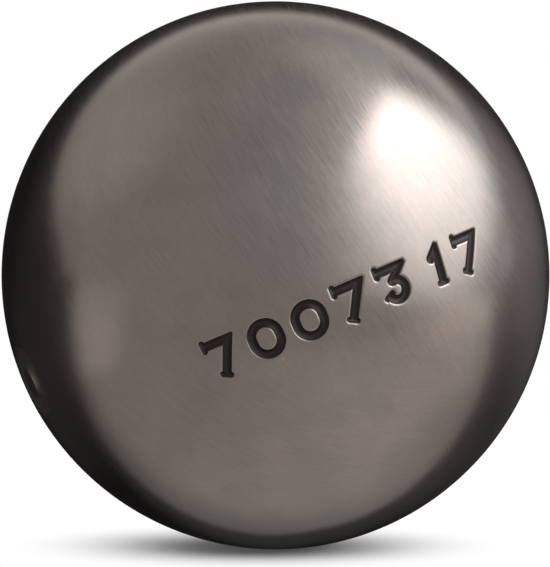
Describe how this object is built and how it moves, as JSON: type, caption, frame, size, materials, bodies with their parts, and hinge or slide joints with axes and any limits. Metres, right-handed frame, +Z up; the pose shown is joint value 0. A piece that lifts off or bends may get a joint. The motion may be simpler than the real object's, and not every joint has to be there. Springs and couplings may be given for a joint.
{
  "type": "petanque boule",
  "caption": "Hollow steel petanque boule: front and rear half shells joined by a ground flush weld over a backing lip, with a plain ring groove.",
  "frame": {"origin": "centre of the ball", "axes": "+Z up; Y through the poles of the two half shells, with the weld in the XZ plane; the front half shell and its ring groove look towards -Y"},
  "size_m": [0.073, 0.073, 0.073],
  "materials": {
    "shell_steel": "satin",
    "weld_steel": "satin"
  },
  "bodies": {
    "root": {"front_half_shell": "shell_steel", "rear_half_shell": "shell_steel", "weld_bead": "weld_steel"}
  },
  "joints": []
}
